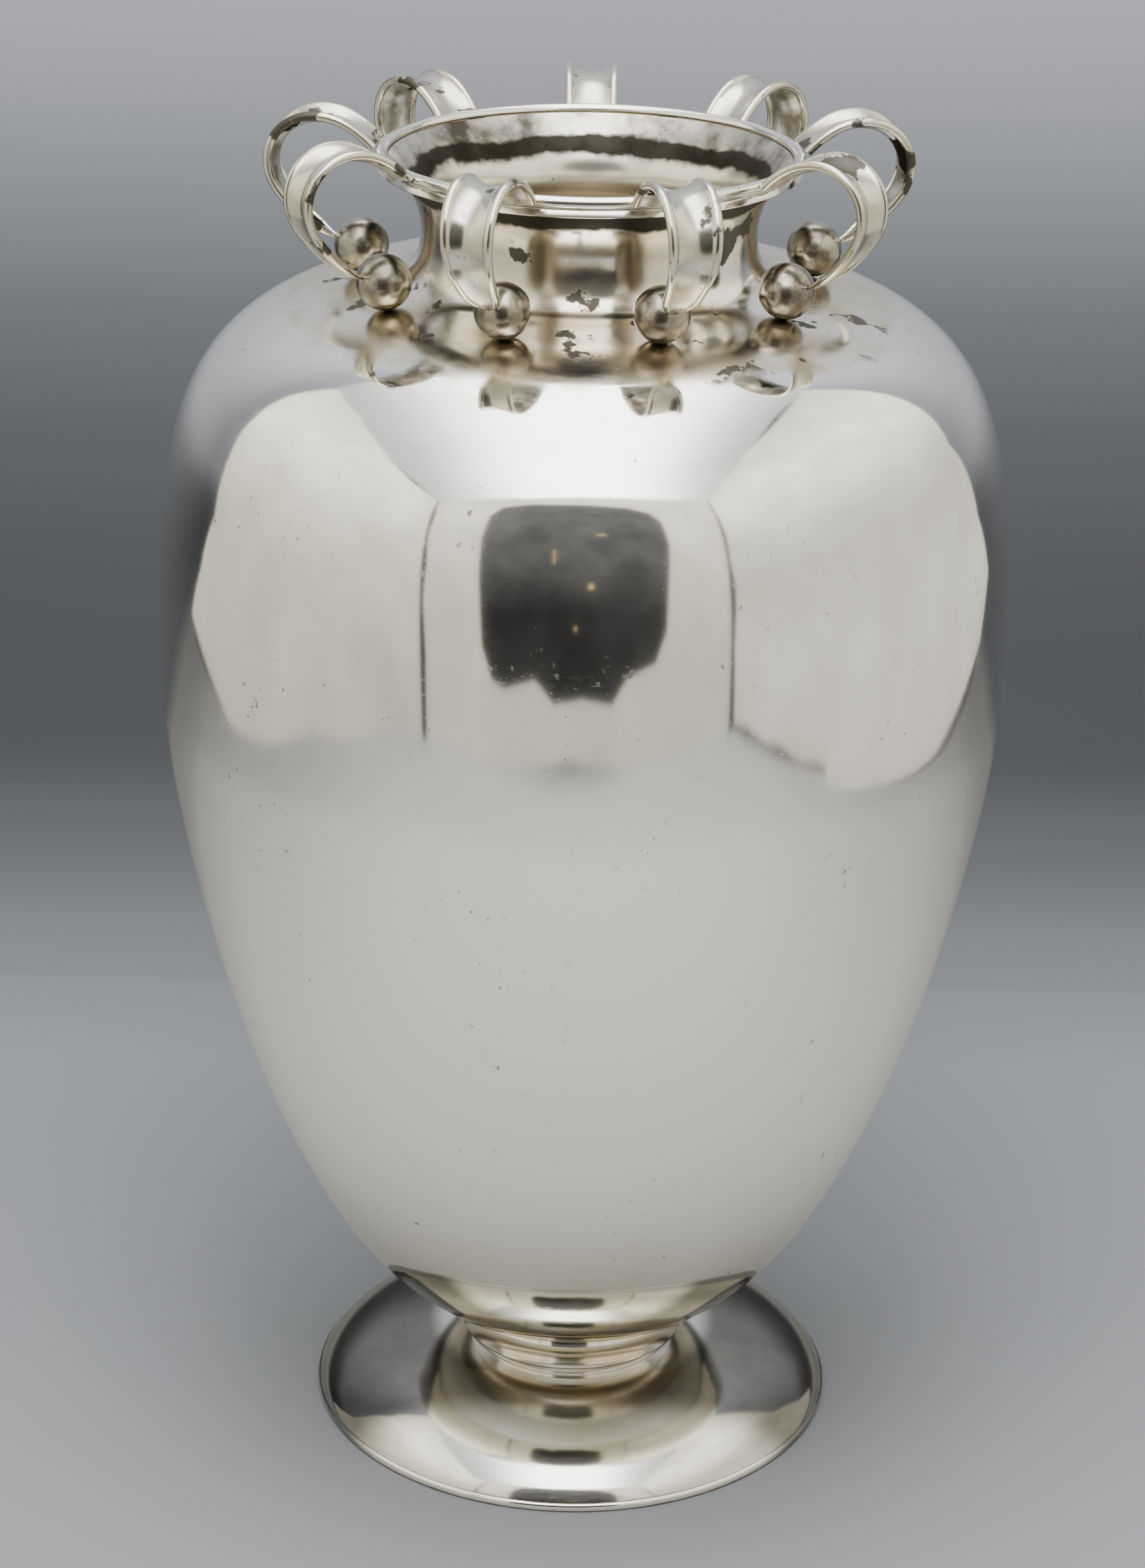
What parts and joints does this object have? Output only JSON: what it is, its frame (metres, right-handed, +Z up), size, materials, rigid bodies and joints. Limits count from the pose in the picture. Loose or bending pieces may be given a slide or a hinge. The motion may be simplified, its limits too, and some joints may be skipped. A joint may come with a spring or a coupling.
{
  "type": "flower vase",
  "caption": "Silver flower vase: egg-shaped body on a short stem and domed foot, with a ring of scroll straps curling from the rim down to balls on the shoulder.",
  "frame": {"origin": "centre of the foot's underside, on the plane the vase stands on", "axes": "+Z up through the mouth; -Y faces the viewer of the picture; +X to the viewer's right"},
  "size_m": [0.2143, 0.2142, 0.3527],
  "materials": {
    "silver_body": "mirror-polished silver with fine scratches",
    "silver_rim": "polished silver, lightly tarnished",
    "silver_foot": "mirror-polished silver, slightly warm in the hollows",
    "silver_strap": "polished silver with warm tarnish in the hollows",
    "silver_ball": "polished silver with warm tarnish and dark specks"
  },
  "bodies": {
    "root": {"body_shell": "silver_body", "rim_wire": "silver_rim", "lip_band": "silver_rim", "stem": "silver_foot", "foot": "silver_foot", "foot_edge_wire": "silver_foot", "scroll_strap_1": "silver_strap", "scroll_strap_2": "silver_strap", "scroll_strap_3": "silver_strap", "scroll_strap_4": "silver_strap", "scroll_strap_5": "silver_strap", "scroll_strap_6": "silver_strap", "scroll_strap_7": "silver_strap", "scroll_strap_8": "silver_strap", "scroll_strap_9": "silver_strap", "scroll_ball_1": "silver_ball", "scroll_ball_2": "silver_ball", "scroll_ball_3": "silver_ball", "scroll_ball_4": "silver_ball", "scroll_ball_5": "silver_ball", "scroll_ball_6": "silver_ball", "scroll_ball_7": "silver_ball", "scroll_ball_8": "silver_ball", "scroll_ball_9": "silver_ball"}
  },
  "joints": []
}
